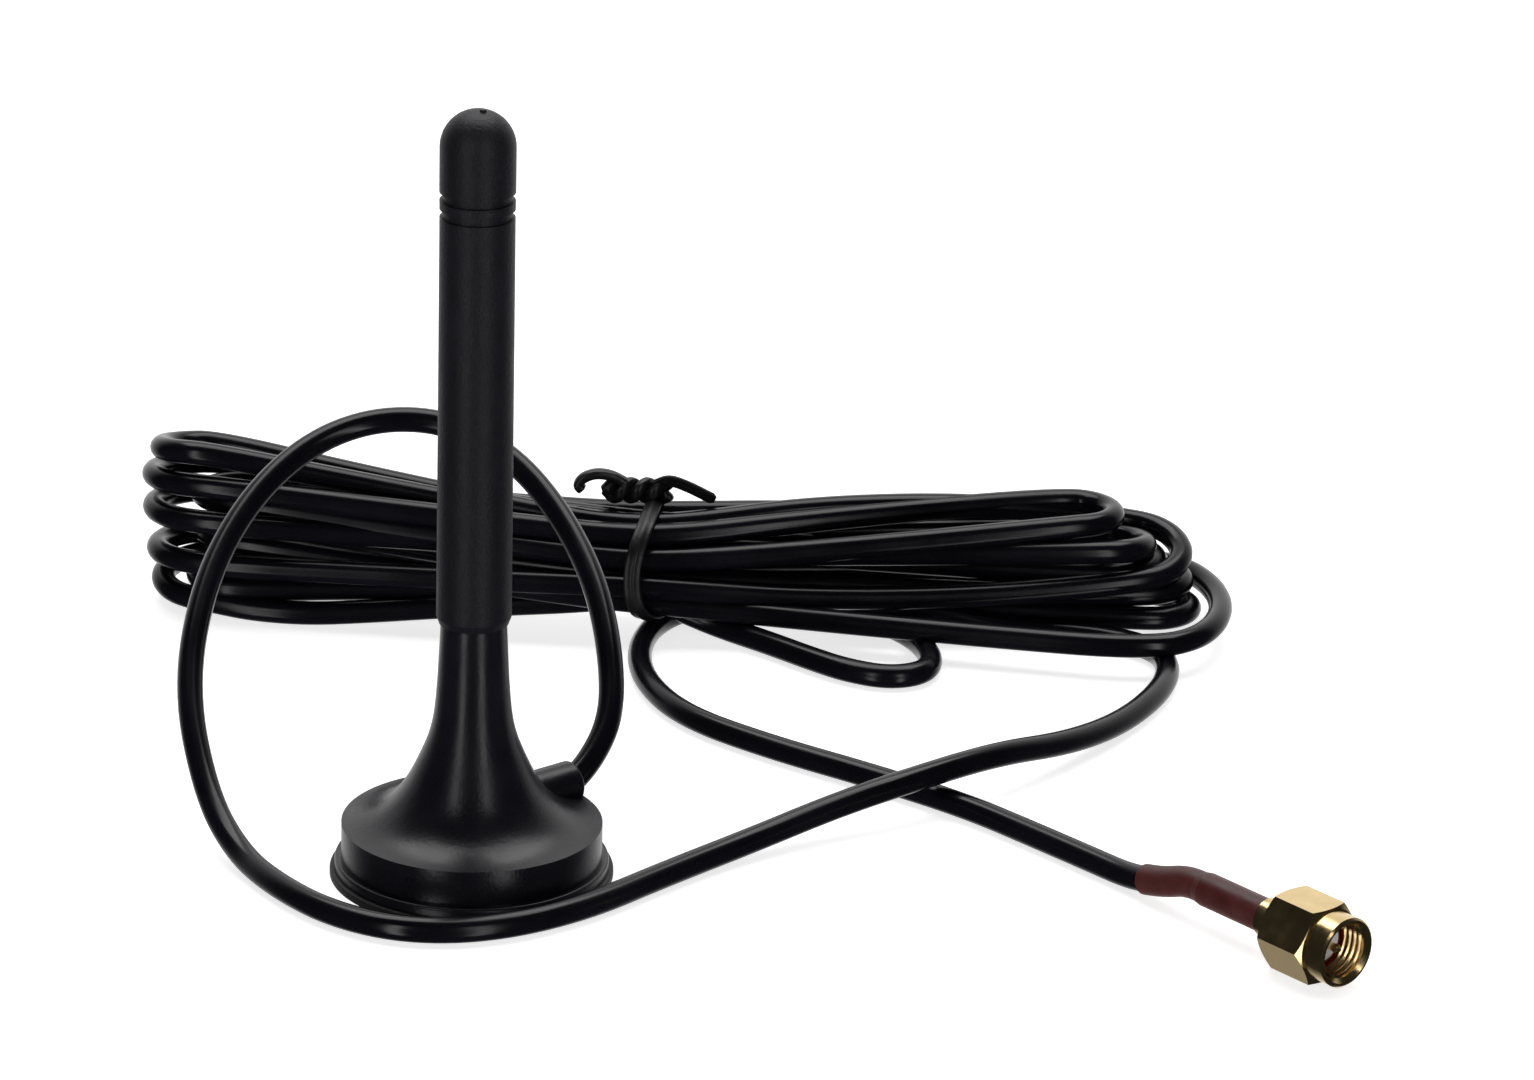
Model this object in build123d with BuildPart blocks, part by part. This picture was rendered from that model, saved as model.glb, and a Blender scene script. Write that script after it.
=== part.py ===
"""Magnetic-foot whip antenna with a tied coaxial lead and a screw-on SMA plug.

Millimetres. +Z up, origin at the centre of the foot's underside, whip along +Z.
Every sub-part is one solid in its own STEP file.
"""
from build123d import *
from math import cos, pi, radians, sin, sqrt, tan
import os

# ---- foot ---------------------------------------------------------------------------------
foot_radius = 15.0
foot_height = 0.8
ring_radius = 14.5
ring_height = 1.1
ring_bore = 11.6
ring_top = foot_height + ring_height
foot_edge_fillet = 0.3
ring_edge_fillet = 0.35
rim_radius = 13.78
rim_height = 5.78
neck_radius = 3.46
neck_top = 28.2
bell_waist_points = [(9.6, 7.3), (7.9, 9.0), (5.7, 13.0), (4.27, 17.2), (3.85, 21.0)]
ceiling_height = 13.4
# radius and height down the inside of the bell, from the mouth to the ceiling
cavity_outline = [
    (12.0, ring_top),
    (12.0, 4.7),
    (10.6, 4.9),
    (8.4, 6.2),
    (6.4, 8.4),
    (4.8, 10.9),
    (3.4, ceiling_height),
]

# ---- magnet stack -------------------------------------------------------------------------
magnet_radius = 11.3
magnet_bore = 3.0
magnet_top = 3.4
magnet_chamfer = 0.2
yoke_radius = 9.0
yoke_top = 4.0

# ---- lead and its outlet ------------------------------------------------------------------
cable_radius = 1.4
dielectric_radius = 0.75
conductor_radius = 0.25
pigtail_radius = 0.45
outlet_azimuth = 41.0
outlet_tilt = 30.0
hood_radius = 2.35
hood_height = 6.85
hood_inner_end = 6.5
hood_end = 13.55
hood_edge_fillet = 0.45
outlet_height = 7.0
outlet_hole_radius = 1.5
outlet_hole_reach = 8.0
crimp_pocket_radius = 2.0
crimp_pocket_depth = 2.0
crimp_pocket_length = 5.0
cable_crimp_radius = 1.85
cable_crimp_span = (2.2, 3.2)
jacket_inset = 3.4
conductor_length = 1.6
tag_length = 2.8
tag_width = 1.8
tag_thickness = 0.25
tag_place = (7.4, 2.7)

# ---- threaded stud ------------------------------------------------------------------------
stud_radius = 1.5
stud_bore = 1.6
stud_bottom = 9.4
stud_top = 33.4
stud_chamfer = 0.4
stud_collar_radius = 2.2
stud_collar_span = (18.0, 22.0)
solder_spigot_radius = 0.6
solder_spigot_bottom = 8.2

# ---- whip ---------------------------------------------------------------------------------
seam_gap = 0.05
sleeve_bottom = neck_top + seam_gap
sleeve_foot_radius = 3.65
sleeve_foot_chamfer = 0.8
sleeve_radius = 3.94
sleeve_mid_radius = 3.92
sleeve_mid_height = 45.0
sleeve_top_radius = 3.89
tip_radius = 3.92
tip_height = 83.7
groove_heights = (72.8, 74.6)
groove_width = 0.9
groove_depth = 0.28
sleeve_bore = 3.0
coil_bore = 2.85
coil_bore_top = 78.0
coil_bore_end_radius = 1.2
coil_bore_end = 80.5
nub_radius = 0.35
nub_height = 0.15
nub_offset = 0.5
nub_root = 1.0
washer_radius = 2.95
washer_height = 0.4
ferrule_top = 36.6
ferrule_bore = 1.6
thread_end = 34.6
drill_point = 0.8
spigot_radius = 1.85
spigot_top = 40.0
core_radius = 1.6
core_top = 74.0
core_chamfer = 0.3
coil_radius = 2.3
coil_wire_radius = 0.4
coil_bottom = 37.1
coil_pitch = 2.6
coil_turns = 13

# ---- plug: stations are distances behind the nut's front face ------------------------------
plug_front = (90.5, -24.2, 4.0)
plug_azimuth = -49.0
nut_flats = 8.0
nut_ring_radius = 3.75
nut_ring_edge = 0.2
nut_hex_front = 2.6
nut_length = 8.8
nut_face_radius = 3.95
nut_chamfer_length = 0.4
thread_minor_radius = 2.84
thread_major_radius = 3.2
thread_pitch = 0.7056
thread_start = 0.5
thread_count = 4
groove_floor = (0.36, 0.50)
groove_finish = 0.86
mouth_radius = 3.28
relief_start = 3.6
relief_radius = 2.98
snap_groove_span = (6.0, 6.95)
snap_groove_radius = 3.35
nut_rear_bore = 2.5
contact_face = 3.3
contact_radius = 2.3
insulator_radius = 2.05
insulator_end = 5.8
gasket_start = 3.9
gasket_end = 4.65
gasket_radius = 2.75
flange_end = 5.6
snap_span = (6.15, 6.8)
snap_radius = 3.15
snap_seat_radius = 2.0
snap_gap = 0.8
snap_clearance = 0.05
collar_radius = 2.1
collar_start = 9.2
collar_chamfer = 0.2
body_bore = 1.3
body_bore_end = 10.5
body_end = 11.5
stem_radius = 1.15
stem_bore = 0.78
stem_end = 18.9
pin_tip = 1.0
pin_tip_radius = 0.15
pin_radius = 0.457
pin_cone_end = 1.35
pin_body_radius = 0.635
pin_end = 9.2
braid_radius = 1.44
braid_end = 18.8
crimp_bore = 1.46
crimp_radius = 1.65
crimp_end = 20.2
shrink_radius = 1.83
shrink_cable_radius = 1.65
shrink_bore = 1.42
shrink_bore_start = 20.7
shrink_step = 20.3
shrink_cone_end = 21.2
shrink_reach = 0.54
shrink_bend_start = 20.6

# ---- hank: x, centre y, half depth, lowest z and highest z of the folded lead ---------------
hank_sections = [
    (-43.5, 80.5, 4.0, 1.0, 19.0),
    (-40.0, 80.0, 9.5, 0.0, 21.5),
    (-26.0, 78.5, 10.5, 0.0, 20.5),
    (-6.0, 76.0, 8.5, 0.0, 18.5),
    (9.0, 73.8, 7.4, 2.0, 16.6),
    (16.5, 73.6, 6.4, 3.8, 15.8),
    (25.0, 74.2, 7.6, 3.0, 16.2),
    (40.0, 75.0, 10.0, 0.0, 18.5),
    (62.0, 74.5, 13.5, 0.0, 18.5),
    (76.0, 75.0, 14.0, 0.0, 15.0),
    (84.0, 76.0, 10.0, 0.0, 9.0),
    (86.5, 76.5, 5.0, 0.5, 6.0),
]
hank_roundness = 0.45
# plan of the one short turn that lies flat in front of the hank
short_turn_outline = [
    (22.0, 74.0),
    (33.5, 61.5),
    (44.5, 53.2),
    (49.0, 53.0),
    (51.6, 56.5),
    (51.0, 62.0),
    (42.0, 74.0),
]

# ---- twist tie: its place is the hank's narrow waist ----------------------------------------
tie_x, tie_y, tie_half_depth, tie_low, tie_high = hank_sections[5]
tie_width = 2.0
tie_thickness = 0.8
tie_tail_width = 1.8
# x and z round the knot and its two tails, over the hank
tie_tail_outline = [
    (8.6, 17.4),
    (9.2, 18.6),
    (13.0, 19.4),
    (18.0, 18.7),
    (24.4, 17.1),
    (24.2, 16.3),
    (19.0, 16.5),
    (14.0, 16.6),
]


def polar_vector(azimuth, tilt=0.0):
    """Unit vector at an azimuth from +X and a tilt above the horizontal, in degrees."""
    level = cos(radians(tilt))
    return Vector(cos(radians(azimuth)) * level, sin(radians(azimuth)) * level, sin(radians(tilt)))


def outlet_side_point(radius, side, height):
    """Point in the foot, radius mm out towards the hood and side mm to its left."""
    point = polar_vector(outlet_azimuth) * radius + polar_vector(outlet_azimuth + 90) * side
    return Vector(point.X, point.Y, height)


def plug_point(station, height=plug_front[2]):
    """Point over or on the plug's axis, station mm behind the nut's front face."""
    point = Vector(*plug_front) - polar_vector(plug_azimuth) * station
    return Vector(point.X, point.Y, height)


outlet_direction = polar_vector(outlet_azimuth, outlet_tilt)
outlet_exit = outlet_side_point(hood_end, 0, outlet_height)
outlet_plane = Plane(origin=outlet_exit, x_dir=polar_vector(outlet_azimuth + 90), z_dir=outlet_direction)
hood_plane = Plane(
    origin=outlet_side_point(hood_inner_end, 0, hood_height),
    x_dir=polar_vector(outlet_azimuth + 90),
    z_dir=polar_vector(outlet_azimuth),
)
plug_plane = Plane(
    origin=plug_front, x_dir=polar_vector(plug_azimuth + 90), z_dir=polar_vector(plug_azimuth) * -1
)
plug_profile = Plane(
    origin=plug_front, x_dir=(0, 0, 1), z_dir=Vector(0, 0, 1).cross(polar_vector(plug_azimuth) * -1)
)
plug_axis = Axis(origin=plug_front, direction=polar_vector(plug_azimuth) * -1)

# ---- routes, laid by hand -------------------------------------------------------------------
lead_a_route = [
    outlet_exit - outlet_direction * jacket_inset,
    outlet_exit + outlet_direction * 2.6,
    Vector(14.2, 14.6, 12.2),
    Vector(13.7, 20.8, 17.4),
    Vector(11.7, 27.8, 22.8),
    Vector(7.5, 34.8, 28.0),
    Vector(2.2, 40.2, 32.2),
    Vector(-5.0, 43.8, 35.0),
    Vector(-13.2, 44.0, 35.2),
    Vector(-20.6, 41.0, 33.0),
    Vector(-26.8, 34.8, 28.3),
    Vector(-30.8, 26.2, 21.8),
    Vector(-31.8, 15.6, 13.6),
    Vector(-28.6, 6.0, 5.2),
    Vector(-24.6, -0.6, 1.5),
    Vector(-19.8, -8.6, 1.4),
    Vector(-13.4, -15.6, 1.4),
    Vector(-5.4, -19.2, 1.4),
    Vector(3.4, -18.0, 1.4),
    Vector(12.4, -12.1, 1.4),
    Vector(20.6, -2.6, 1.4),
    Vector(29.6, 6.4, 1.7),
    Vector(38.4, 12.4, 3.4),
    Vector(46.4, 16.9, 4.7),
    Vector(56.0, 25.2, 4.7),
    Vector(64.2, 34.0, 2.6),
    Vector(70.6, 43.0, 1.5),
    Vector(75.4, 52.6, 1.4),
    Vector(77.2, 61.6, 1.4),
    Vector(76.0, 66.9, 1.4),
]
lead_b_route = [
    Vector(32.0, 79.6, 1.8),
    Vector(23.6, 78.4, 1.4),
    Vector(17.0, 71.8, 1.4),
    Vector(15.0, 62.4, 1.4),
    Vector(16.4, 52.0, 1.4),
    Vector(21.6, 41.8, 1.4),
    Vector(31.4, 33.4, 1.4),
    Vector(42.6, 25.8, 1.4),
    Vector(52.6, 18.2, 1.4),
    Vector(60.6, 9.8, 1.4),
    plug_point(37.0, 1.4),
    plug_point(31.6, 1.5),
    plug_point(26.8, 2.6),
    plug_point(23.2),
    plug_point(stem_end),
]
core_route = [
    lead_a_route[0],
    outlet_side_point(9.74, 0, 4.8),
    outlet_side_point(5.4, 0, 4.8),
    outlet_side_point(1.9, 0, 7.6),
]
pigtail_route = [
    outlet_side_point(10.4, 1.25, 5.2),
    outlet_side_point(9.2, 2.3, 4.75),
    outlet_side_point(7.2, 2.7, 4.7),
]


def corner_radii(route):
    """Arc radius at each corner: 0.45 of the shorter run over the tangent of half the turn."""
    radii = []
    for before, corner, after in zip(route, route[1:], route[2:]):
        shorter = min((corner - before).length, (after - corner).length)
        turn = (corner - before).get_angle(after - corner)
        radii.append(0.45 * shorter / tan(radians(turn) / 2))
    return radii


def rounded_path(route):
    """Straight runs joined by tangent arcs."""
    return FilletPolyline(*route, radius=corner_radii(route))


def start_plane(path):
    """Plane square to a path at its start."""
    return Plane(origin=path @ 0, z_dir=path % 0)


def report_tube(tube, path, route, section_area):
    """Print a tube's length and arcs, and its volume against section times length."""
    ratio = tube.volume / (section_area * path.length)
    print(tube.label, "length", round(path.length, 1), "volume ratio", round(ratio, 4))
    print("  radii", [round(radius, 1) for radius in corner_radii(route)])


def turn(outline, mode=Mode.ADD):
    """Revolve a closed (radius, station) outline about the plug's axis."""
    with BuildSketch(plug_profile) as profile:
        with BuildLine():
            Polyline(*outline, close=True)
        make_face()
    revolve(profile.sketch, axis=plug_axis, mode=mode)


def turned_tube(inner, outer, start, end):
    """Closed outline of a plain tube on the plug's axis."""
    return [(inner, start), (outer, start), (outer, end), (inner, end)]


def tube_on_plane(plane, outer, inner, height):
    """Extrude a ring from a plane."""
    with BuildSketch(plane) as ring:
        Circle(outer)
        Circle(inner, mode=Mode.SUBTRACT)
    extrude(ring.sketch, amount=height)


lead_a_path = rounded_path(lead_a_route)
lead_b_path = rounded_path(lead_b_route)
core_path = rounded_path(core_route)
pigtail_path = rounded_path(pigtail_route)

# =============================================================================================
# Foot
# =============================================================================================
with BuildPart() as foot_pad:
    with BuildSketch():
        Circle(foot_radius)
    extrude(amount=foot_height)
    fillet(foot_pad.edges().group_by(Axis.Z)[-1], foot_edge_fillet)
foot_pad.part.label = "foot_pad"

with BuildPart() as retaining_ring:
    tube_on_plane(Plane.XY.offset(foot_height), ring_radius, ring_bore, ring_height)
    top_edges = retaining_ring.edges().group_by(Axis.Z)[-1]
    fillet(top_edges.sort_by(SortBy.LENGTH)[-1], ring_edge_fillet)
retaining_ring.part.label = "retaining_ring"

with BuildPart() as magnet:
    tube_on_plane(Plane.XY.offset(foot_height), magnet_radius, magnet_bore, magnet_top - foot_height)
    chamfer(magnet.edges().filter_by(GeomType.CIRCLE), magnet_chamfer)
magnet.part.label = "magnet"

with BuildPart() as yoke_plate:
    tube_on_plane(Plane.XY.offset(magnet_top), yoke_radius, magnet_bore, yoke_top - magnet_top)
yoke_plate.part.label = "yoke_plate"

with BuildPart() as hood_form:
    with BuildSketch(hood_plane):
        Circle(hood_radius)
    extrude(amount=hood_end - hood_inner_end)
    hood_edges = hood_form.edges().sort_by(Axis(hood_plane.origin, hood_plane.z_dir))
    fillet(hood_edges[-1], hood_edge_fillet)

with BuildPart() as base_cap:
    with BuildSketch(Plane.XZ):
        with BuildLine():
            bell = Spline(
                (rim_radius, rim_height),
                *bell_waist_points,
                (neck_radius, neck_top),
                tangents=[(-1, 0.1), (-0.05, 1)],
            )
            Polyline(bell @ 1, (0, neck_top), (0, ring_top), (rim_radius, ring_top), bell @ 0)
        make_face()
    revolve(axis=Axis.Z)
    add(hood_form.part)
    with BuildSketch(Plane.XZ):
        with BuildLine():
            Polyline(
                (0, ring_top),
                *cavity_outline,
                (stud_bore, ceiling_height),
                (stud_bore, stud_collar_span[0]),
                (stud_collar_radius, stud_collar_span[0]),
                (stud_collar_radius, stud_collar_span[1]),
                (stud_bore, stud_collar_span[1]),
                (stud_bore, neck_top),
                (0, neck_top),
                close=True,
            )
        make_face()
    revolve(axis=Axis.Z, mode=Mode.SUBTRACT)
    with BuildSketch(outlet_plane):
        Circle(outlet_hole_radius)
    extrude(amount=outlet_hole_reach, both=True, mode=Mode.SUBTRACT)
    with BuildSketch(outlet_plane.offset(-crimp_pocket_depth)):
        Circle(crimp_pocket_radius)
    extrude(amount=-crimp_pocket_length, mode=Mode.SUBTRACT)
base_cap.part.label = "base_cap"

with BuildPart() as cable_crimp:
    tube_on_plane(
        outlet_plane.offset(-cable_crimp_span[1]),
        cable_crimp_radius,
        cable_radius,
        cable_crimp_span[1] - cable_crimp_span[0],
    )
cable_crimp.part.label = "cable_crimp"

with BuildPart() as ground_tag:
    tag_centre = outlet_side_point(*tag_place, yoke_top)
    with BuildSketch(Plane(origin=tag_centre, x_dir=polar_vector(outlet_azimuth), z_dir=(0, 0, 1))):
        SlotOverall(tag_length, tag_width)
    extrude(amount=tag_thickness)
ground_tag.part.label = "ground_tag"

with BuildPart() as braid_pigtail:
    with BuildSketch(start_plane(pigtail_path)):
        Circle(pigtail_radius)
    sweep(path=pigtail_path)
braid_pigtail.part.label = "braid_pigtail"

with BuildPart() as coax_core:
    with BuildSketch(start_plane(core_path)):
        Circle(dielectric_radius)
    sweep(path=core_path)
coax_core.part.label = "coax_core"

with BuildPart() as coax_conductor:
    with BuildSketch(Plane(origin=core_path @ 1, z_dir=core_path % 1)):
        Circle(conductor_radius)
    extrude(amount=conductor_length)
coax_conductor.part.label = "coax_conductor"

with BuildPart() as threaded_stud:
    with BuildSketch(Plane.XZ):
        with BuildLine():
            Polyline(
                (0, solder_spigot_bottom),
                (solder_spigot_radius, solder_spigot_bottom),
                (solder_spigot_radius, stud_bottom),
                (stud_radius, stud_bottom),
                (stud_radius, stud_collar_span[0]),
                (stud_collar_radius, stud_collar_span[0]),
                (stud_collar_radius, stud_collar_span[1]),
                (stud_radius, stud_collar_span[1]),
                (stud_radius, stud_top - stud_chamfer),
                (stud_radius - stud_chamfer, stud_top),
                (0, stud_top),
                close=True,
            )
        make_face()
    revolve(axis=Axis.Z)
threaded_stud.part.label = "threaded_stud"

# =============================================================================================
# Whip
# =============================================================================================
with BuildPart() as seal_washer:
    tube_on_plane(Plane.XY.offset(neck_top), washer_radius, stud_bore, washer_height)
seal_washer.part.label = "seal_washer"

ferrule_bottom = neck_top + washer_height
with BuildPart() as whip_ferrule:
    with BuildSketch(Plane.XZ):
        with BuildLine():
            Polyline(
                (ferrule_bore, ferrule_bottom),
                (washer_radius, ferrule_bottom),
                (washer_radius, ferrule_top),
                (spigot_radius, ferrule_top),
                (spigot_radius, spigot_top),
                (0, spigot_top),
                (0, thread_end + drill_point),
                (ferrule_bore, thread_end),
                close=True,
            )
        make_face()
    revolve(axis=Axis.Z)
whip_ferrule.part.label = "whip_ferrule"

with BuildPart() as coil_core:
    with BuildSketch(Plane.XY.offset(spigot_top)):
        Circle(core_radius)
    extrude(amount=core_top - spigot_top)
    chamfer(coil_core.edges().group_by(Axis.Z)[-1], core_chamfer)
coil_core.part.label = "coil_core"

coil_path = Helix(
    pitch=coil_pitch,
    height=coil_pitch * coil_turns,
    radius=coil_radius,
    center=(0, 0, coil_bottom + coil_wire_radius),
)
with BuildPart() as helical_radiator:
    with BuildSketch(start_plane(coil_path)):
        Circle(coil_wire_radius)
    sweep(path=coil_path, is_frenet=True)
helical_radiator.part.label = "helical_radiator"

dome_centre = tip_height - tip_radius
with BuildPart() as radome_sleeve:
    with BuildSketch(Plane.XZ):
        with BuildLine():
            Polyline(
                (0, tip_height),
                (0, coil_bore_end),
                (coil_bore_end_radius, coil_bore_end),
                (coil_bore, coil_bore_top),
                (coil_bore, ferrule_top),
                (sleeve_bore, ferrule_top),
                (sleeve_bore, sleeve_bottom),
                (sleeve_foot_radius, sleeve_bottom),
                (sleeve_radius, sleeve_bottom + sleeve_foot_chamfer),
                (sleeve_mid_radius, sleeve_mid_height),
                (sleeve_top_radius, groove_heights[0]),
                (tip_radius, groove_heights[1] + groove_width),
                (tip_radius, dome_centre),
            )
            RadiusArc((tip_radius, dome_centre), (0, tip_height), -tip_radius)
        make_face()
    revolve(axis=Axis.Z)
    for height in groove_heights:
        with BuildSketch(Plane.XZ):
            with Locations((sleeve_top_radius, height)):
                Rectangle(2 * groove_depth, groove_width)
        revolve(axis=Axis.Z, mode=Mode.SUBTRACT)
    with BuildSketch(Plane.XY.offset(tip_height - nub_root)):
        with Locations((nub_offset, -nub_offset)):
            Circle(nub_radius)
    extrude(amount=nub_root + nub_height)
radome_sleeve.part.label = "radome_sleeve"

# =============================================================================================
# Lead, hank and tie
# =============================================================================================
with BuildPart() as cable_lead_a:
    with BuildSketch(start_plane(lead_a_path)):
        Circle(cable_radius)
    sweep(path=lead_a_path)
cable_lead_a.part.label = "cable_lead_a"

with BuildPart() as cable_lead_b:
    with BuildSketch(start_plane(lead_b_path)):
        Circle(cable_radius)
    sweep(path=lead_b_path)
cable_lead_b.part.label = "cable_lead_b"

with BuildPart() as cable_hank:
    for x, centre_y, half_depth, low, high in hank_sections:
        width = 2 * half_depth
        height = high - low
        with BuildSketch(Plane.YZ.offset(x)):
            with Locations((centre_y, (low + high) / 2)):
                RectangleRounded(width, height, hank_roundness * min(width, height))
    loft(ruled=True)
    with BuildSketch():
        with BuildLine():
            Polyline(*short_turn_outline, close=True)
        make_face()
    extrude(amount=2 * cable_radius)
cable_hank.part.label = "cable_hank"

with BuildPart() as twist_tie:
    tie_height = tie_high - tie_low
    tie_centre = (tie_low + tie_high) / 2
    inner_corner = hank_roundness * 2 * tie_half_depth
    with BuildSketch(Plane.YZ.offset(tie_x - tie_width / 2)):
        with Locations((tie_y, tie_centre)):
            RectangleRounded(
                2 * (tie_half_depth + tie_thickness),
                tie_height + 2 * tie_thickness,
                inner_corner + tie_thickness,
            )
            RectangleRounded(2 * tie_half_depth, tie_height, inner_corner, mode=Mode.SUBTRACT)
    extrude(amount=tie_width)
    with BuildSketch(Plane.XZ.offset(-tie_y - tie_tail_width / 2)):
        with BuildLine():
            Polyline(*tie_tail_outline, close=True)
        make_face()
    extrude(amount=tie_tail_width)
twist_tie.part.label = "twist_tie"

# =============================================================================================
# Plug
# =============================================================================================
shrink_route = [
    Vector(*(lead_b_route[-3] + (lead_b_route[-4] - lead_b_route[-3]) * shrink_reach)),
    *lead_b_route[-3:-1],
    plug_point(shrink_bend_start),
]
shrink_path = FilletPolyline(*shrink_route, radius=corner_radii(lead_b_route)[-2:])
with BuildPart() as heat_shrink:
    turn([(0, body_end), (shrink_radius, body_end), (shrink_radius, shrink_step),
          (shrink_cable_radius, shrink_cone_end), (0, shrink_cone_end)])
    with BuildSketch(start_plane(shrink_path)):
        Circle(shrink_cable_radius)
    sweep(path=shrink_path)
    turn([(0, body_end), (crimp_radius, body_end), (crimp_radius, crimp_end),
          (shrink_bore, crimp_end), (shrink_bore, shrink_bore_start),
          (0, shrink_bore_start)], mode=Mode.SUBTRACT)
    with BuildSketch(start_plane(shrink_path)):
        Circle(shrink_bore)
    sweep(path=shrink_path, mode=Mode.SUBTRACT)
heat_shrink.part.label = "heat_shrink"

with BuildPart() as crimp_ferrule:
    turn(turned_tube(crimp_bore, crimp_radius, body_end, crimp_end))
crimp_ferrule.part.label = "crimp_ferrule"

with BuildPart() as connector_braid:
    turn(turned_tube(stem_radius, braid_radius, body_end, braid_end))
connector_braid.part.label = "connector_braid"

with BuildPart() as connector_dielectric:
    turn([(0, pin_end), (dielectric_radius, pin_end), (dielectric_radius, stem_end), (0, stem_end)])
connector_dielectric.part.label = "connector_dielectric"

with BuildPart() as sma_body:
    turn([
        (insulator_radius, contact_face),
        (contact_radius, contact_face),
        (contact_radius, gasket_end),
        (gasket_radius, gasket_end),
        (gasket_radius, flange_end),
        (contact_radius, flange_end),
        (contact_radius, snap_span[0] - snap_clearance),
        (snap_seat_radius, snap_span[0] - snap_clearance),
        (snap_seat_radius, snap_span[1] + snap_clearance),
        (contact_radius, snap_span[1] + snap_clearance),
        (contact_radius, collar_start - collar_chamfer),
        (collar_radius, collar_start),
        (collar_radius, body_end),
        (stem_radius, body_end),
        (stem_radius, stem_end),
        (stem_bore, stem_end),
        (stem_bore, body_bore_end),
        (body_bore, body_bore_end),
        (body_bore, insulator_end),
        (insulator_radius, insulator_end),
    ])
sma_body.part.label = "sma_body"

with BuildPart() as gasket:
    turn(turned_tube(contact_radius, gasket_radius, gasket_start, gasket_end))
gasket.part.label = "gasket"

with BuildPart() as snap_ring:
    turn(turned_tube(snap_seat_radius, snap_radius, *snap_span))
    with BuildSketch(plug_plane.offset(snap_span[0])):
        with Locations((0, snap_radius)):
            Rectangle(snap_gap, 2 * snap_radius)
    extrude(amount=snap_span[1] - snap_span[0], mode=Mode.SUBTRACT)
snap_ring.part.label = "snap_ring"

with BuildPart() as ptfe_insulator:
    turn(turned_tube(pin_body_radius, insulator_radius, contact_face, insulator_end))
ptfe_insulator.part.label = "ptfe_insulator"

with BuildPart() as centre_pin:
    turn([
        (0, pin_tip),
        (pin_tip_radius, pin_tip),
        (pin_radius, pin_cone_end),
        (pin_radius, contact_face),
        (pin_body_radius, contact_face),
        (pin_body_radius, pin_end),
        (0, pin_end),
    ])
centre_pin.part.label = "centre_pin"

nut_corner_radius = nut_flats / sqrt(3)
thread_outline = []
for groove in range(thread_count):
    station = thread_start + groove * thread_pitch
    thread_outline += [
        (thread_minor_radius, station),
        (thread_major_radius, station + groove_floor[0] * thread_pitch),
        (thread_major_radius, station + groove_floor[1] * thread_pitch),
        (thread_minor_radius, station + groove_finish * thread_pitch),
    ]
with BuildPart() as coupling_nut:
    with BuildSketch(plug_plane.offset(nut_hex_front)):
        RegularPolygon(nut_corner_radius, 6)
    extrude(amount=nut_length - nut_hex_front)
    turn([
        (0, nut_hex_front),
        (nut_face_radius, nut_hex_front),
        (nut_corner_radius, nut_hex_front + nut_chamfer_length),
        (nut_corner_radius, nut_length - nut_chamfer_length),
        (nut_face_radius, nut_length),
        (0, nut_length),
    ], mode=Mode.INTERSECT)
    turn([
        (0, 0),
        (nut_ring_radius - nut_ring_edge, 0),
        (nut_ring_radius, nut_ring_edge),
        (nut_ring_radius, nut_hex_front),
        (0, nut_hex_front),
    ])
    turn([
        (0, 0),
        (mouth_radius, 0),
        (thread_minor_radius, mouth_radius - thread_minor_radius),
        *thread_outline,
        (thread_minor_radius, relief_start),
        (relief_radius, relief_start),
        (relief_radius, snap_groove_span[0]),
        (snap_groove_radius, snap_groove_span[0]),
        (snap_groove_radius, snap_groove_span[1]),
        (nut_rear_bore, snap_groove_span[1]),
        (nut_rear_bore, nut_length),
        (0, nut_length),
    ], mode=Mode.SUBTRACT)
coupling_nut.part.label = "coupling_nut"

# =============================================================================================
# Output
# =============================================================================================
cable_area = pi * cable_radius**2
report_tube(cable_lead_a.part, lead_a_path, lead_a_route, cable_area)
report_tube(cable_lead_b.part, lead_b_path, lead_b_route, cable_area)
report_tube(coax_core.part, core_path, core_route, pi * dielectric_radius**2)

pieces = [
    foot_pad, retaining_ring, magnet, yoke_plate, base_cap, cable_crimp, ground_tag, braid_pigtail,
    coax_core, coax_conductor, threaded_stud, seal_washer, whip_ferrule, coil_core,
    helical_radiator, radome_sleeve, cable_lead_a, cable_hank, cable_lead_b, twist_tie,
    heat_shrink, crimp_ferrule, connector_braid, connector_dielectric, sma_body, gasket,
    snap_ring, ptfe_insulator, centre_pin, coupling_nut,
]
os.makedirs("parts", exist_ok=True)
for piece in pieces:
    export_step(piece.part, f"parts/{piece.part.label}.step")
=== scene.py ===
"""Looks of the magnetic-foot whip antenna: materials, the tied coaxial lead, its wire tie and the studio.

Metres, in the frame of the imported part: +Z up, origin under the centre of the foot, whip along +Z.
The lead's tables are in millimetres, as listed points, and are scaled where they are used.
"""
import bpy
import math
from mathutils import Matrix, Vector


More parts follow.
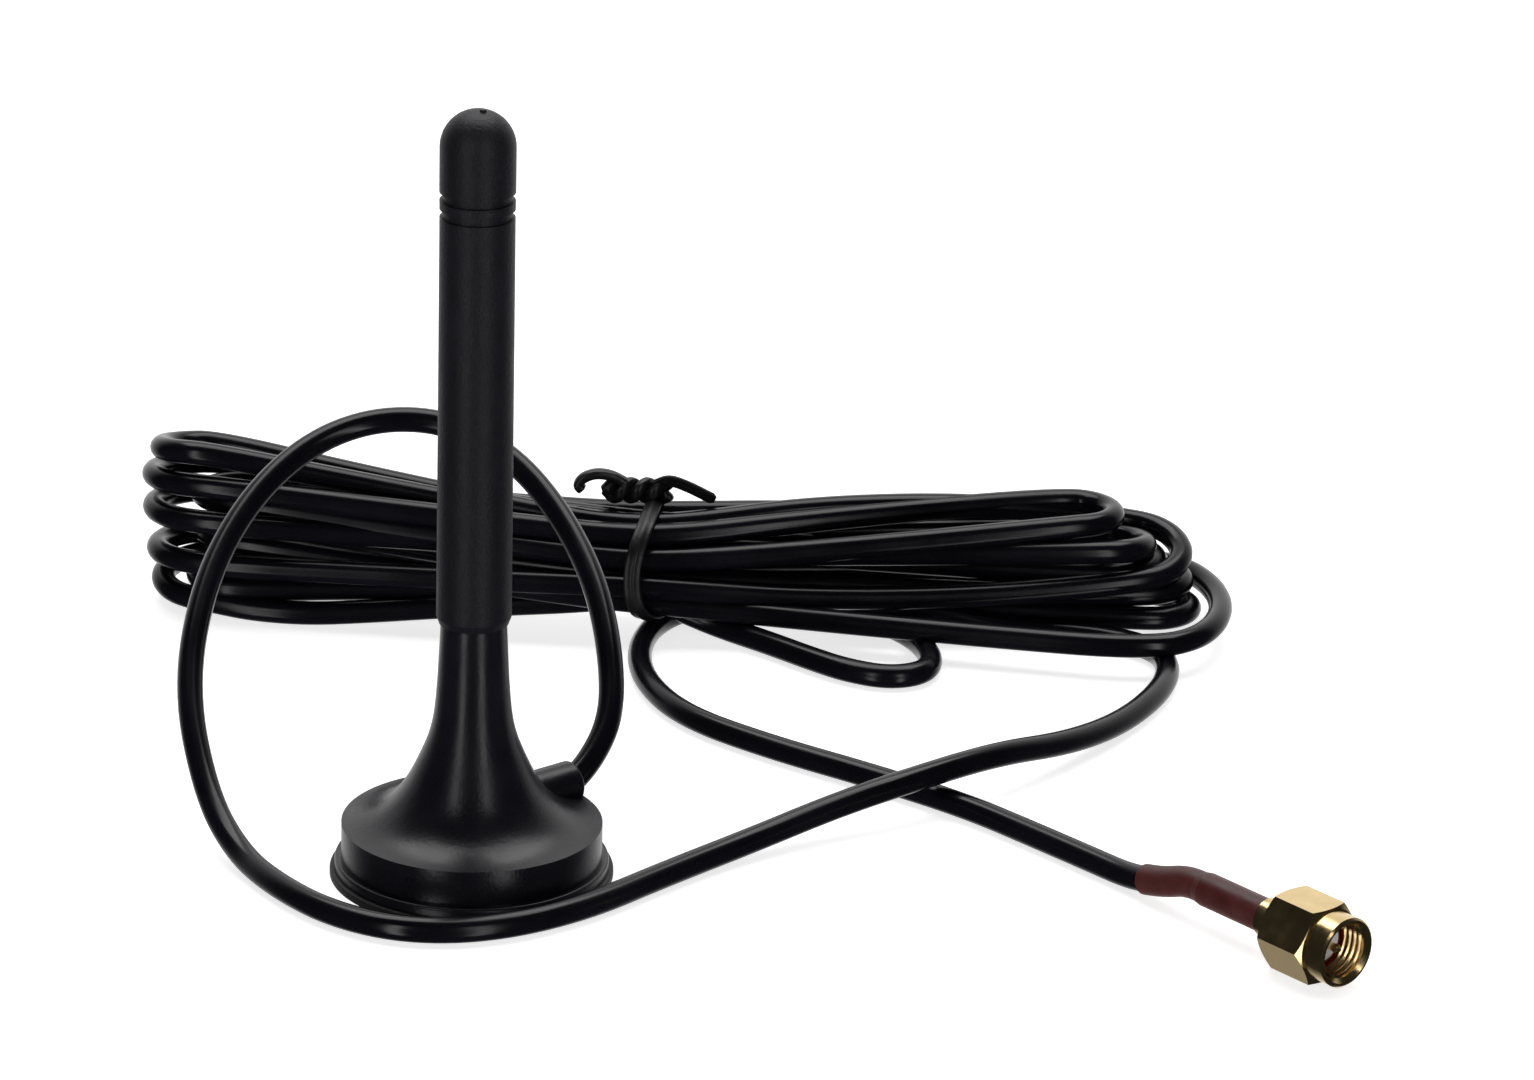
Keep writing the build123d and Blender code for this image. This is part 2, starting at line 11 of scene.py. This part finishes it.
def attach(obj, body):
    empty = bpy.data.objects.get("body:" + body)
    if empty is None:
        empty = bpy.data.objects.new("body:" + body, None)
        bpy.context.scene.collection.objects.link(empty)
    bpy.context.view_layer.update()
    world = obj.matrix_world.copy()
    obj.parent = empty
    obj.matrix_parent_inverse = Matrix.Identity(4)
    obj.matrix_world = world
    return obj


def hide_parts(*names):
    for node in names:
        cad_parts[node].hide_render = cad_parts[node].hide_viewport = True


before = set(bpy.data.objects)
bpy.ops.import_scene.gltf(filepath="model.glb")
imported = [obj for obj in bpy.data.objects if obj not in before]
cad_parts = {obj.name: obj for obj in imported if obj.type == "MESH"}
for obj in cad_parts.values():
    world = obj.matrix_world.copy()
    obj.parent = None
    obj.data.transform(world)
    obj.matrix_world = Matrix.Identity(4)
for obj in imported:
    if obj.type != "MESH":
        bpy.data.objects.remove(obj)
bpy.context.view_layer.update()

MM = 0.001

# ---- camera: the view from a little above the front --------------------------------------------
CAMERA_PLACE = Vector((0.0303, -0.58009, 0.25181))
CAMERA_PITCH = math.radians(20.215)
CAMERA_ROLL = math.radians(1.554)
CAMERA_LENS = 140.0
CAMERA_SENSOR = 36.0

# ---- lead --------------------------------------------------------------------------------------
LEAD_RADIUS = 1.4 * MM
OUTLET_EXIT = Vector((10.226, 8.890, 7.0))
OUTLET_DIRECTION = Vector((0.6536, 0.5682, 0.5))
OUTLET_STRAIGHT = 2.6
PLUG_FRONT = Vector((90.5, -24.2, 4.0))
PLUG_OUTWARD = Vector((0.656059, -0.75471, 0.0))

# the lead's way out of the hood, round behind the whip, down and in front of the foot, to the hank
LEAD_OUT = [
    (14.2, 14.6, 12.2),
    (13.7, 20.8, 17.4),
    (11.7, 27.8, 22.8),
    (7.5, 34.8, 28.0),
    (2.2, 40.2, 32.2),
    (-5.0, 43.8, 35.0),
    (-13.2, 44.0, 35.2),
    (-20.6, 41.0, 33.0),
    (-26.8, 34.8, 28.3),
    (-30.8, 26.2, 21.8),
    (-31.8, 15.6, 13.6),
    (-28.6, 6.0, 5.2),
    (-24.6, -0.6, 1.5),
    (-19.8, -8.6, 1.4),
    (-13.4, -15.6, 1.4),
    (-5.4, -19.2, 1.4),
    (3.4, -18.0, 1.4),
    (12.4, -12.1, 1.4),
    (20.6, -2.6, 1.4),
    (29.6, 6.4, 1.7),
    (38.4, 12.4, 3.4),
    (46.4, 16.9, 4.7),
    (56.0, 25.2, 4.7),
    (64.2, 34.0, 2.6),
    (70.6, 43.0, 1.5),
    (75.4, 52.6, 1.4),
    (77.2, 60.6, 1.4),
    (76.0, 66.4, 1.4),
]
# from the bend beside the hank, back under its front edge to the tie
LEAD_INTO_HANK = [
    (71.4, 70.0, 1.4),
    (64.6, 71.6, 1.4),
    (57.8, 71.8, 1.6),
    (50.0, 72.0, 3.4),
    (43.0, 72.8, 4.3),
    (34.2, 74.8, 4.4),
    (25.0, 76.6, 4.3),
]
# the lowest strand on the left, which lies on the floor under the others on its way to the tie
LOWEST_STRAND = [
    (-29.4, 71.6, 1.4),
    (-23.0, 70.8, 1.4),
    (-16.0, 71.6, 1.6),
    (-8.0, 72.6, 2.0),
    (0.0, 72.3, 2.7),
    (9.0, 71.9, 3.5),
    (16.5, 71.8, 4.6),
]
# the short flat turn in front of the hank
SHORT_TURN = [
    (20.6, 70.9, 3.0),
    (25.2, 69.6, 1.6),
    (30.6, 65.6, 1.4),
    (35.6, 60.9, 1.4),
    (39.8, 57.4, 1.4),
    (44.8, 55.4, 1.4),
    (49.0, 57.4, 1.4),
    (49.8, 62.4, 1.4),
    (47.6, 69.0, 1.4),
    (41.6, 75.8, 1.4),
    (32.0, 79.6, 1.4),
]
# out again from under the tie, across the floor and under the first stretch, to the plug
LEAD_TO_PLUG = [
    (23.6, 78.0, 1.4),
    (17.8, 72.0, 1.4),
    (15.6, 62.4, 1.4),
    (16.8, 52.0, 1.4),
    (21.6, 41.8, 1.4),
    (31.4, 33.4, 1.4),
    (42.6, 25.8, 1.4),
    (52.6, 18.2, 1.4),
    (60.6, 9.8, 1.4),
]
# distance behind the nut's front face, and height, of the lead's last points inside the plug
PLUG_STATIONS = [(37.0, 1.4), (31.6, 1.5), (26.8, 2.6), (23.2, 4.0), (18.9, 4.0)]

# ---- hank: eight folded turns gathered at the tie ----------------------------------------------
TIE_X = 16.5
# height and first y of each row of strands in the tie, and the distance between two in a row
TIE_ROWS = [(4.6, 69.0), (7.1, 67.9), (9.6, 69.2), (12.0, 70.6)]
ROW_PITCH = 2.8
# row and place of each strand in the tie, in the order in which the lead passes through it
TIE_PLACES = [
    (0, 3), (0, 2), (1, 3), (1, 0), (3, 1), (2, 3), (2, 1), (1, 2),
    (1, 1), (0, 0), (3, 2), (3, 0), (2, 0), (3, 3), (2, 2),
]
# x, y and z of each turn's end, half its width, its rise from front to back, and which side its
# first strand is on: -1 the back, 1 the front. A right turn also has how far its first and its
# second strand arch upwards on their way from the tie.
LEFT_TURNS = [
    (-37.0, 77.6, 3.8, 4.9, 0.8, -1),
    (-42.0, 79.4, 6.3, 7.4, -0.8, -1),
    (-41.4, 79.8, 18.5, 5.8, -2.6, -1),
    (-42.5, 79.8, 11.3, 8.0, -1.2, 1),
    (-36.0, 78.8, 8.4, 5.0, -0.6, -1),
    (-42.6, 80.6, 15.0, 7.6, -2.0, -1),
    (-36.6, 79.6, 13.0, 5.4, -1.0, 1),
    (-41.4, 79.4, 2.6, 6.6, 1.6, -1),
]
RIGHT_TURNS = [
    (80.8, 78.6, 2.3, 5.4, -0.6, 1, 0.0, 0.0),
    (79.6, 79.6, 8.8, 6.4, 3.4, 1, -1.7, 3.2),
    (75.2, 78.6, 10.0, 5.4, -1.6, -1, 0.9, 0.0),
    (79.8, 80.0, 5.2, 5.2, 0.4, -1, 0.0, 0.0),
    (84.4, 75.0, 4.1, 14.2, 0.8, 1, -0.6, 0.0),
    (71.3, 79.6, 13.3, 5.2, -0.2, -1, 1.0, 0.0),
    (76.6, 80.0, 7.6, 5.2, 0.6, -1, 1.8, 0.0),
]
# each end is five points, 45 degrees apart, and reaches lengthwise by this ratio of its half width
TURN_STEPS = (-2, -1, 0, 1, 2)
TURN_STEP_ANGLE = math.radians(45)
TURN_REACH_LIMIT = 9.0
TURN_REACH_RATIO = 1.1
# where the points lie along a strand, and how its x, y and z go from the tie's to the end's
FAN_SHARES = (0.08, 0.34, 0.68)
FAN_POWERS = (1.0, 1.35, 1.1)


def tie_point(place):
    """Where a strand crosses the tie's plane."""
    row, along = place
    height, first = TIE_ROWS[row]
    return Vector((TIE_X, first + ROW_PITCH * along, height))


def turn_points(turn, side):
    """Five points round one folded end, from its first strand to its second."""
    x, y, z, half_width, rise, first = turn[:6]
    reach = TURN_REACH_RATIO * min(half_width, TURN_REACH_LIMIT)
    points = []
    for step in TURN_STEPS:
        angle = TURN_STEP_ANGLE * step * first
        swing = math.sin(angle)
        points.append(Vector((
            x - side * reach * (1 - math.cos(angle)),
            y + half_width * swing,
            z + 0.5 * rise * swing,
        )))
    return points


def fan(place, end, arch=0.0):
    """Points along one strand from the tie out to a folded end, spreading and arching as they go."""
    start = tie_point(place)
    away = end - start
    points = []
    for share in FAN_SHARES:
        spread = Vector([away[i] * share ** FAN_POWERS[i] for i in range(3)])
        points.append(start + spread + Vector((0, 0, arch * math.sin(math.pi * share))))
    return points


def hank_points():
    """The whole hank: strands go left and right by turns, each through its own place in the tie."""
    lefts = [turn_points(turn, -1) for turn in LEFT_TURNS]
    rights = [turn_points(turn, 1) for turn in RIGHT_TURNS]
    points = [tie_point(TIE_PLACES[0])]
    for number, left in enumerate(lefts):
        going = TIE_PLACES[2 * number]
        points += fan(going, left[0]) + left
        if number == len(rights):
            break
        coming = TIE_PLACES[2 * number + 1]
        onward = TIE_PLACES[2 * number + 2]
        right = rights[number]
        arches = RIGHT_TURNS[number][6:]
        points += fan(coming, left[-1])[::-1] + fan(coming, right[0], arches[0]) + right
        points += fan(onward, right[-1], arches[1])[::-1]
    return points


def lead_points():
    """The lead's whole route, from inside the hood to inside the plug, in millimetres."""
    points = [OUTLET_EXIT, OUTLET_EXIT + OUTLET_DIRECTION * OUTLET_STRAIGHT]
    points += [Vector(point) for point in LEAD_OUT + LEAD_INTO_HANK]
    points += hank_points()
    points += [Vector(point) for point in LOWEST_STRAND + SHORT_TURN + LEAD_TO_PLUG]
    for station, height in PLUG_STATIONS:
        place = PLUG_FRONT - PLUG_OUTWARD * station
        points.append(Vector((place.x, place.y, height)))
    return points


# =================================================================================================
# Materials
# =================================================================================================
# the middle of the noise's range, over which it goes from one end of a ramp to the other
RAMP_START = 0.3
RAMP_END = 0.7


def new_material(name, color, roughness, metallic=0.0, **sockets):
    """A Principled material. Returns the material, its node tree and its shader."""
    material = bpy.data.materials.new(name)
    material.use_nodes = True
    tree = material.node_tree
    shader = tree.nodes["Principled BSDF"]
    shader.inputs["Base Color"].default_value = (*color, 1.0)
    shader.inputs["Roughness"].default_value = roughness
    shader.inputs["Metallic"].default_value = metallic
    for socket, value in sockets.items():
        shader.inputs[socket.replace("_", " ")].default_value = value
    return material, tree, shader


def noise(tree, scale, detail=4.0):
    """Noise in object space. scale is in features per metre."""
    place = tree.nodes.new("ShaderNodeTexCoord")
    texture = tree.nodes.new("ShaderNodeTexNoise")
    texture.inputs["Scale"].default_value = scale
    texture.inputs["Detail"].default_value = detail
    tree.links.new(place.outputs["Object"], texture.inputs["Vector"])
    return texture.outputs["Fac"]


def ramp(tree, factor, low, high):
    """Turns a factor into a colour or grey between two ends."""
    node = tree.nodes.new("ShaderNodeValToRGB")
    node.color_ramp.elements[0].position = RAMP_START
    node.color_ramp.elements[1].position = RAMP_END
    node.color_ramp.elements[0].color = low
    node.color_ramp.elements[1].color = high
    tree.links.new(factor, node.inputs["Fac"])
    return node.outputs["Color"]


def grey(value):
    return (value, value, value, 1.0)


def vary(tree, shader, color, spread, scale, roughness=None):
    """Varies the colour by +-spread, and the roughness between two values, over the surface."""
    factor = noise(tree, scale)
    low = (*[channel * (1 - spread) for channel in color], 1.0)
    high = (*[min(1.0, channel * (1 + spread)) for channel in color], 1.0)
    tree.links.new(ramp(tree, factor, low, high), shader.inputs["Base Color"])
    if roughness:
        tree.links.new(ramp(tree, factor, grey(roughness[0]), grey(roughness[1])),
                       shader.inputs["Roughness"])


def bump(tree, shader, height, distance, strength=1.0):
    """Adds a bump from a height, distance metres deep."""
    node = tree.nodes.new("ShaderNodeBump")
    node.inputs["Distance"].default_value = distance
    node.inputs["Strength"].default_value = strength
    tree.links.new(height, node.inputs["Height"])
    tree.links.new(node.outputs["Normal"], shader.inputs["Normal"])


def moulded_plastic(name, color, roughness, grain_scale, grain_depth, spread=0.12):
    """Moulded plastic with a fine spark-eroded grain and slightly uneven sheen."""
    material, tree, shader = new_material(name, color, roughness)
    vary(tree, shader, color, spread, 260.0, (roughness - 0.035, roughness + 0.045))
    bump(tree, shader, noise(tree, grain_scale, detail=6.0), grain_depth)
    return material


def cable_jacket():
    """Extruded PVC jacket: glossy, with slightly uneven gloss from handling."""
    color = (0.0038, 0.0036, 0.0064)
    material, tree, shader = new_material("cable_jacket", color, 0.2, Specular_IOR_Level=0.4)
    vary(tree, shader, color, 0.25, 90.0, (0.17, 0.26))
    bump(tree, shader, noise(tree, 350.0, detail=2.0), 0.00002, 0.5)
    return material


def heat_shrink_red():
    """Shrunk polyolefin tube: dark red-brown, with soft wrinkles round it."""
    color = (0.082, 0.0115, 0.0105)
    material, tree, shader = new_material("heat_shrink_red", color, 0.42)
    vary(tree, shader, color, 0.22, 420.0, (0.34, 0.5))
    bump(tree, shader, noise(tree, 1500.0, detail=5.0), 0.00005, 0.7)
    return material


def turned_metal(name, color, roughness, spread=0.1, scale=500.0, depth=0.000012):
    """Turned and plated metal: fine tool marks and slightly uneven plating."""
    material, tree, shader = new_material(name, color, roughness, metallic=1.0)
    vary(tree, shader, color, spread, scale, (max(0.04, roughness - 0.05), roughness + 0.09))
    bump(tree, shader, noise(tree, 6000.0, detail=2.0), depth, 0.5)
    return material


def braided_wire():
    """Tinned braid: fine crossing strands."""
    color = (0.62, 0.61, 0.58)
    material, tree, shader = new_material("braided_wire", color, 0.35, metallic=1.0)
    vary(tree, shader, color, 0.2, 900.0, (0.28, 0.45))
    weave = tree.nodes.new("ShaderNodeTexWave")
    weave.inputs["Scale"].default_value = 1800.0
    weave.inputs["Distortion"].default_value = 1.5
    bump(tree, shader, weave.outputs["Fac"], 0.0001)
    return material


def ferrite():
    """Sintered ferrite: dull dark grey with a coarse grain."""
    color = (0.055, 0.055, 0.06)
    material, tree, shader = new_material("ferrite", color, 0.62)
    vary(tree, shader, color, 0.3, 700.0, (0.5, 0.7))
    bump(tree, shader, noise(tree, 2600.0, detail=8.0), 0.00008)
    return material


def build_materials():
    """Every finish in the part, by the record's material slot."""
    return {
        "foot_rubber": moulded_plastic("foot_rubber", (0.009, 0.009, 0.010), 0.55, 2600.0, 0.00006),
        "cap_plastic": moulded_plastic("cap_plastic", (0.0052, 0.0050, 0.0092), 0.3, 2400.0, 0.00002),
        "magnet_ferrite": ferrite(),
        "steel_plate": turned_metal("zinc_plate", (0.50, 0.51, 0.54), 0.34, spread=0.15),
        "tinned_brass": turned_metal("tinned_brass", (0.60, 0.59, 0.56), 0.30),
        "insulation": moulded_plastic("insulation", (0.82, 0.80, 0.74), 0.45, 2000.0, 0.00002, 0.04),
        "brass": turned_metal("brass", (0.72, 0.52, 0.22), 0.26),
        "washer_rubber": moulded_plastic("washer_rubber", (0.010, 0.010, 0.010), 0.5, 2600.0, 0.00004),
        "sleeve_plastic": moulded_plastic("sleeve_plastic", (0.0058, 0.0060, 0.0104), 0.48,
                                          3400.0, 0.00006),
        "cable_jacket": cable_jacket(),
        "tie_plastic": moulded_plastic("tie_plastic", (0.006, 0.006, 0.007), 0.36, 1800.0, 0.00004),
        "shrink_red": heat_shrink_red(),
        "gold_plate": turned_metal("gold_plate", (0.80, 0.60, 0.30), 0.16, spread=0.08),
        "gasket_red": moulded_plastic("gasket_red", (0.42, 0.030, 0.016), 0.4, 2200.0, 0.00003),
        "spring_bronze": turned_metal("spring_bronze", (0.62, 0.42, 0.24), 0.3),
        "ptfe": moulded_plastic("ptfe", (0.86, 0.84, 0.82), 0.42, 1800.0, 0.00002, 0.03),
        "braid": braided_wire(),
    }


materials = build_materials()

# the finish of each CAD node that stays in view
NODE_FINISHES = {
    "foot_pad": "foot_rubber",
    "retaining_ring": "cap_plastic",
    "magnet": "magnet_ferrite",
    "yoke_plate": "steel_plate",
    "base_cap": "cap_plastic",
    "cable_crimp": "tinned_brass",
    "ground_tag": "tinned_brass",
    "braid_pigtail": "braid",
    "coax_core": "insulation",
    "coax_conductor": "tinned_brass",
    "threaded_stud": "brass",
    "seal_washer": "washer_rubber",
    "whip_ferrule": "brass",
    "coil_core": "insulation",
    "helical_radiator": "spring_bronze",
    "radome_sleeve": "sleeve_plastic",
    "heat_shrink": "shrink_red",
    "crimp_ferrule": "tinned_brass",
    "connector_braid": "braid",
    "connector_dielectric": "ptfe",
    "sma_body": "gold_plate",
    "gasket": "gasket_red",
    "snap_ring": "spring_bronze",
    "ptfe_insulator": "ptfe",
    "centre_pin": "gold_plate",
    "coupling_nut": "gold_plate",
}


def dress(piece, finish):
    """Gives a piece one material all over."""
    piece.data.materials.clear()
    piece.data.materials.append(materials[finish])


for node_name, finish in NODE_FINISHES.items():
    dress(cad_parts[node_name], finish)


# =================================================================================================
# Lead
# =================================================================================================
CORD_STEPS = 8
CORD_BEVEL_STEPS = 6


def make_lead():
    """The whole lead as one round curve, in metres."""
    curve = bpy.data.curves.new("lead_cord", "CURVE")
    curve.dimensions = "3D"
    curve.resolution_u = CORD_STEPS
    curve.bevel_depth = LEAD_RADIUS
    curve.bevel_resolution = CORD_BEVEL_STEPS
    curve.use_fill_caps = True
    route = lead_points()
    spline = curve.splines.new("NURBS")
    spline.points.add(len(route) - 1)
    for control, point in zip(spline.points, route):
        control.co = (*(point * MM), 1.0)
    spline.order_u = 3
    spline.use_endpoint_u = True
    lead = bpy.data.objects.new("lead_cord", curve)
    bpy.context.scene.collection.objects.link(lead)
    return lead


lead = make_lead()
dress(lead, "cable_jacket")
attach(lead, "base")
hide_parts("cable_lead_a", "cable_hank", "cable_lead_b")

# =================================================================================================
# Wire tie: a plastic-coated wire once round the hank, twisted on top of it, with two loose ends
# =================================================================================================
# once round the hank, from the top forwards
TIE_BAND = [
    (17.2, 79.6, 13.9),
    (17.0, 76.4, 14.4),
    (16.6, 72.6, 14.4),
    (16.0, 69.2, 13.6),
    (15.2, 67.0, 11.6),
    (14.8, 66.0, 9.0),
    (15.0, 65.8, 6.4),
    (15.8, 66.6, 4.2),
    (17.2, 68.8, 3.0),
    (18.8, 72.4, 3.0),
    (19.8, 76.4, 3.1),
    (20.0, 79.6, 4.0),
    (19.4, 81.6, 6.6),
    (18.6, 82.0, 9.6),
    (17.8, 81.2, 12.4),
]
TIE_LEFT_TAIL = [
    (14.0, 77.2, 16.2),
    (12.0, 77.0, 17.3),
    (10.2, 76.8, 17.6),
    (8.7, 76.7, 17.1),
    (8.1, 76.7, 16.2),
    (8.6, 76.7, 15.6),
]
TIE_RIGHT_TAIL = [
    (16.6, 77.0, 16.1),
    (18.6, 76.9, 16.9),
    (20.8, 76.6, 16.4),
    (24.1, 76.3, 14.9),
]
# the wire core's radius; half the width and half the wings' thickness, where the coating is round
# and where it is flat; and how far an end tapers
TIE_WIRE = 0.5
TIE_ROUND = (0.78, 0.62)
TIE_FLAT = (0.98, 0.3)
TIE_TIP = 0.6
KNOT_START = Vector((11.2, 77.4, 15.4))
KNOT_END = Vector((18.8, 77.2, 15.6))
KNOT_TURNS = 2.0
KNOT_RADIUS = 0.78
KNOT_SAMPLES = 56


def smooth_line(points, per_span=8):
    """A Catmull-Rom line through points."""
    line = []
    padded = [points[0] * 2 - points[1], *points, points[-1] * 2 - points[-2]]
    for a, b, c, d in zip(padded, padded[1:], padded[2:], padded[3:]):
        for step in range(per_span):
            t = step / per_span
            line.append(0.5 * (2 * b + (c - a) * t + (2 * a - 5 * b + 4 * c - d) * t * t
                               + (3 * b - a - 3 * c + d) * t ** 3))
    line.append(points[-1].copy())
    return line


def wire_strip(name, line, section, wide, sides=24, closed=False):
    """A coated wire swept along a line: two flat wings and a round core between them.

    section is half its width and half its wings' thickness, in millimetres; wide is the direction
    that its flat width follows as nearly as the line allows.
    """
    count = len(line)
    half_width, half_thickness = section
    vertices = []
    for number, point in enumerate(line):
        before = line[number - 1] if number or closed else point
        after = line[(number + 1) % count] if number < count - 1 or closed else point
        along = (after - before).normalized()
        across = (wide - along * wide.dot(along)).normalized()
        normal = across.cross(along)
        taper = TIE_TIP if not closed and number in (0, count - 1) else 1.0
        for side in range(sides):
            angle = math.tau * side / sides
            across_reach = math.cos(angle) * half_width
            wing = half_thickness * abs(math.sin(angle)) ** 0.5
            core = TIE_WIRE * math.sqrt(max(0.0, 1 - (across_reach / TIE_WIRE) ** 2))
            thickness = math.copysign(max(wing, core), math.sin(angle))
            vertices.append((point + (across * across_reach + normal * thickness) * taper) * MM)
    faces = []
    for ring in range(count if closed else count - 1):
        following = (ring + 1) % count
        for side in range(sides):
            beside = (side + 1) % sides
            faces.append((ring * sides + side, ring * sides + beside,
                          following * sides + beside, following * sides + side))
    if not closed:
        faces.append(tuple(range(sides))[::-1])
        faces.append(tuple((count - 1) * sides + side for side in range(sides)))
    mesh = bpy.data.meshes.new(name)
    mesh.from_pydata(vertices, [], faces)
    mesh.shade_smooth()
    piece = bpy.data.objects.new(name, mesh)
    bpy.context.scene.collection.objects.link(piece)
    dress(piece, "tie_plastic")
    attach(piece, "base")
    return piece


def knot_strand(phase):
    """One of the two wound ends of the tie's knot."""
    axis = KNOT_END - KNOT_START
    side = axis.cross(Vector((0, 0, 1))).normalized()
    lift = side.cross(axis).normalized()
    strand = []
    for number in range(KNOT_SAMPLES + 1):
        share = number / KNOT_SAMPLES
        angle = math.tau * KNOT_TURNS * share + phase
        strand.append(KNOT_START + axis * share
                      + (side * math.cos(angle) + lift * math.sin(angle)) * KNOT_RADIUS)
    return strand


def make_tie():
    """The band, the two strands of the knot and the two tails."""
    lengthwise = Vector((1, 0, 0))
    upward = Vector((0, 0, 1))
    tilted = Vector((0.1, -0.55, 0.8))
    turn_once = [Vector(point) for point in TIE_BAND]
    band = smooth_line(turn_once + [turn_once[0]])[:-1]
    pieces = [wire_strip("tie_band", band, TIE_FLAT, lengthwise, closed=True)]
    for number, phase in enumerate((0.0, math.pi)):
        pieces.append(wire_strip(f"tie_knot_{number + 1}", knot_strand(phase), TIE_ROUND, upward))
    left = smooth_line([Vector(point) for point in TIE_LEFT_TAIL])
    right = smooth_line([Vector(point) for point in TIE_RIGHT_TAIL])
    pieces.append(wire_strip("tie_tail_left", left, TIE_ROUND, Vector((0, 1, 0))))
    pieces.append(wire_strip("tie_tail_right", right, TIE_FLAT, tilted))
    return pieces


tie_pieces = make_tie()
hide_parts("twist_tie")


# =================================================================================================
# Studio
# =================================================================================================
FLOOR_COLOR = (0.95, 0.95, 0.95)
FLOOR_GLOW = 0.75
FLOOR_HALF_SIZE = 4.0
# the room's strength on the camera's side and behind the table, and the stretch of the unit
# direction's y over which it goes from one to the other
ROOM_STRENGTHS = (0.02, 1.0)
ROOM_SPAN = (0.3, 0.9)
# two tall lamps beside the camera, and one overhead: place, target, width and height, power
STRIP_SIDE = 0.40
STRIP_PLACE = (-0.70, 0.0)
STRIP_SIZE = (0.14, 1.3)
STRIP_POWER = 1.6
TOP_PLACE = (0.02, 0.35, 0.9)
TOP_TARGET = (0.02, 0.04, 0.0)
TOP_SIZE = (1.0, 0.6)
TOP_POWER = 5.5


def make_floor():
    """A plain white table top, large enough for any view, and left out of reflections."""
    half = FLOOR_HALF_SIZE
    mesh = bpy.data.meshes.new("studio_floor")
    mesh.from_pydata([(-half, -half, 0), (half, -half, 0), (half, half, 0), (-half, half, 0)], [],
                     [(0, 1, 2, 3)])
    floor = bpy.data.objects.new("studio_floor", mesh)
    bpy.context.scene.collection.objects.link(floor)
    floor.visible_glossy = False
    material, tree, shader = new_material("studio_white", FLOOR_COLOR, 0.8)
    vary(tree, shader, FLOOR_COLOR, 0.01, 3.0)
    shader.inputs["Emission Color"].default_value = grey(1.0)
    shader.inputs["Emission Strength"].default_value = FLOOR_GLOW
    mesh.materials.append(material)


def add_softbox(name, place, target, size, power):
    """A rectangular soft light aimed at a point. size is its width and height in metres."""
    light = bpy.data.lights.new(name, "AREA")
    light.shape = "RECTANGLE"
    light.size, light.size_y = size
    light.energy = power
    lamp = bpy.data.objects.new(name, light)
    lamp.location = place
    lamp.rotation_euler = (Vector(target) - Vector(place)).to_track_quat("-Z", "Y").to_euler()
    bpy.context.scene.collection.objects.link(lamp)


def make_world():
    """White paper for the camera; for reflections, a room that is bright only behind the table."""
    world = bpy.data.worlds.new("studio")
    bpy.context.scene.world = world
    world.use_nodes = True
    tree = world.node_tree
    tree.nodes.clear()
    place = tree.nodes.new("ShaderNodeTexCoord")
    split = tree.nodes.new("ShaderNodeSeparateXYZ")
    reach = tree.nodes.new("ShaderNodeMapRange")
    reach.inputs["From Min"].default_value = ROOM_SPAN[0]
    reach.inputs["From Max"].default_value = ROOM_SPAN[1]
    reach.inputs["To Min"].default_value = ROOM_STRENGTHS[0]
    reach.inputs["To Max"].default_value = ROOM_STRENGTHS[1]
    room = tree.nodes.new("ShaderNodeBackground")
    paper = tree.nodes.new("ShaderNodeBackground")
    path = tree.nodes.new("ShaderNodeLightPath")
    mix = tree.nodes.new("ShaderNodeMixShader")
    out = tree.nodes.new("ShaderNodeOutputWorld")
    tree.links.new(place.outputs["Generated"], split.inputs["Vector"])
    tree.links.new(split.outputs["Y"], reach.inputs["Value"])
    tree.links.new(reach.outputs["Result"], room.inputs["Strength"])
    tree.links.new(path.outputs["Is Camera Ray"], mix.inputs["Fac"])
    tree.links.new(room.outputs["Background"], mix.inputs[1])
    tree.links.new(paper.outputs["Background"], mix.inputs[2])
    tree.links.new(mix.outputs["Shader"], out.inputs["Surface"])
    room.inputs["Color"].default_value = grey(1.0)
    paper.inputs["Color"].default_value = grey(1.0)
    paper.inputs["Strength"].default_value = 1.0


def make_camera():
    """The camera, from its place, its pitch below the horizon and its roll."""
    forward = Vector((0, math.cos(CAMERA_PITCH), -math.sin(CAMERA_PITCH)))
    down = Vector((0, -math.sin(CAMERA_PITCH), -math.cos(CAMERA_PITCH)))
    sideways = Vector((1, 0, 0))
    right = sideways * math.cos(CAMERA_ROLL) - down * math.sin(CAMERA_ROLL)
    lower = down * math.cos(CAMERA_ROLL) + sideways * math.sin(CAMERA_ROLL)
    turn = Matrix((right, -lower, -forward)).transposed()
    data = bpy.data.cameras.new("camera")
    data.lens = CAMERA_LENS
    data.sensor_width = CAMERA_SENSOR
    data.clip_start = 0.01
    camera = bpy.data.objects.new("camera", data)
    camera.matrix_world = Matrix.Translation(CAMERA_PLACE) @ turn.to_4x4()
    bpy.context.scene.collection.objects.link(camera)
    bpy.context.scene.camera = camera


make_floor()
make_world()
make_camera()
for name, side in (("strip_left", -1), ("strip_right", 1)):
    add_softbox(name, (side * STRIP_SIDE, *STRIP_PLACE), (0.0, 0.0, 0.0), STRIP_SIZE, STRIP_POWER)
add_softbox("top", TOP_PLACE, TOP_TARGET, TOP_SIZE, TOP_POWER)
bpy.context.scene.view_settings.view_transform = "Standard"
